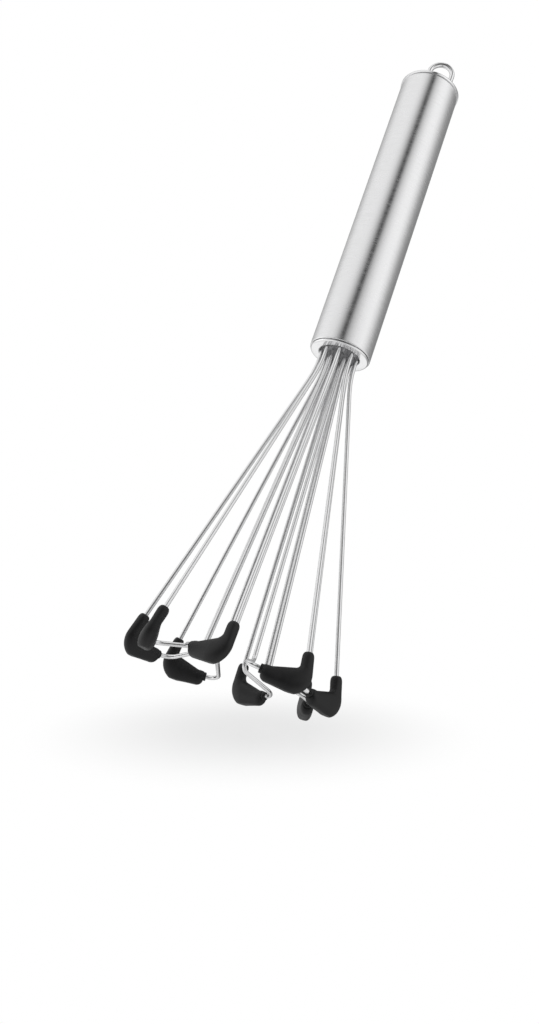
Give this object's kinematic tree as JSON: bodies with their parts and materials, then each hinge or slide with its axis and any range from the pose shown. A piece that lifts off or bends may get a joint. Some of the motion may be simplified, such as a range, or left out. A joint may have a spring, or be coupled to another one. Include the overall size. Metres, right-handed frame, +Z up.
{
  "type": "whisk",
  "caption": "Hand whisk with a brushed steel tube handle, a wire hanging loop and flared wire loops whose outer corners wear black silicone feet.",
  "frame": {"origin": "on the whisk's axis, on the surface that its silicone feet stand on", "axes": "+Z up the handle's axis towards the hanging loop, +X through the elbow of wire_loop_1 and along the width of the hanging loop"},
  "size_m": [0.0796, 0.0796, 0.2777],
  "materials": {
    "brushed_steel": "satin, brushed round the tube",
    "polished_steel": "polished",
    "wire_steel": "drawn spring wire, bright",
    "black_silicone": "moulded, matt with a soft sheen",
    "carrier_plastic": "moulded, plain",
    "setting_resin": "cast, plain"
  },
  "bodies": {
    "root": {"handle_tube": "brushed_steel", "end_ring": "polished_steel", "wire_carrier": "carrier_plastic", "resin_plug": "setting_resin", "top_cap": "polished_steel", "hanging_loop": "polished_steel", "wire_loop_1": "wire_steel", "wire_loop_2": "wire_steel", "wire_loop_3": "wire_steel", "wire_loop_4": "wire_steel", "wire_loop_5": "wire_steel", "wire_loop_6": "wire_steel", "wire_loop_7": "wire_steel", "wire_loop_8": "wire_steel", "silicone_tip_1": "black_silicone", "silicone_tip_2": "black_silicone", "silicone_tip_3": "black_silicone", "silicone_tip_4": "black_silicone", "silicone_tip_5": "black_silicone", "silicone_tip_6": "black_silicone", "silicone_tip_7": "black_silicone", "silicone_tip_8": "black_silicone"}
  },
  "joints": []
}
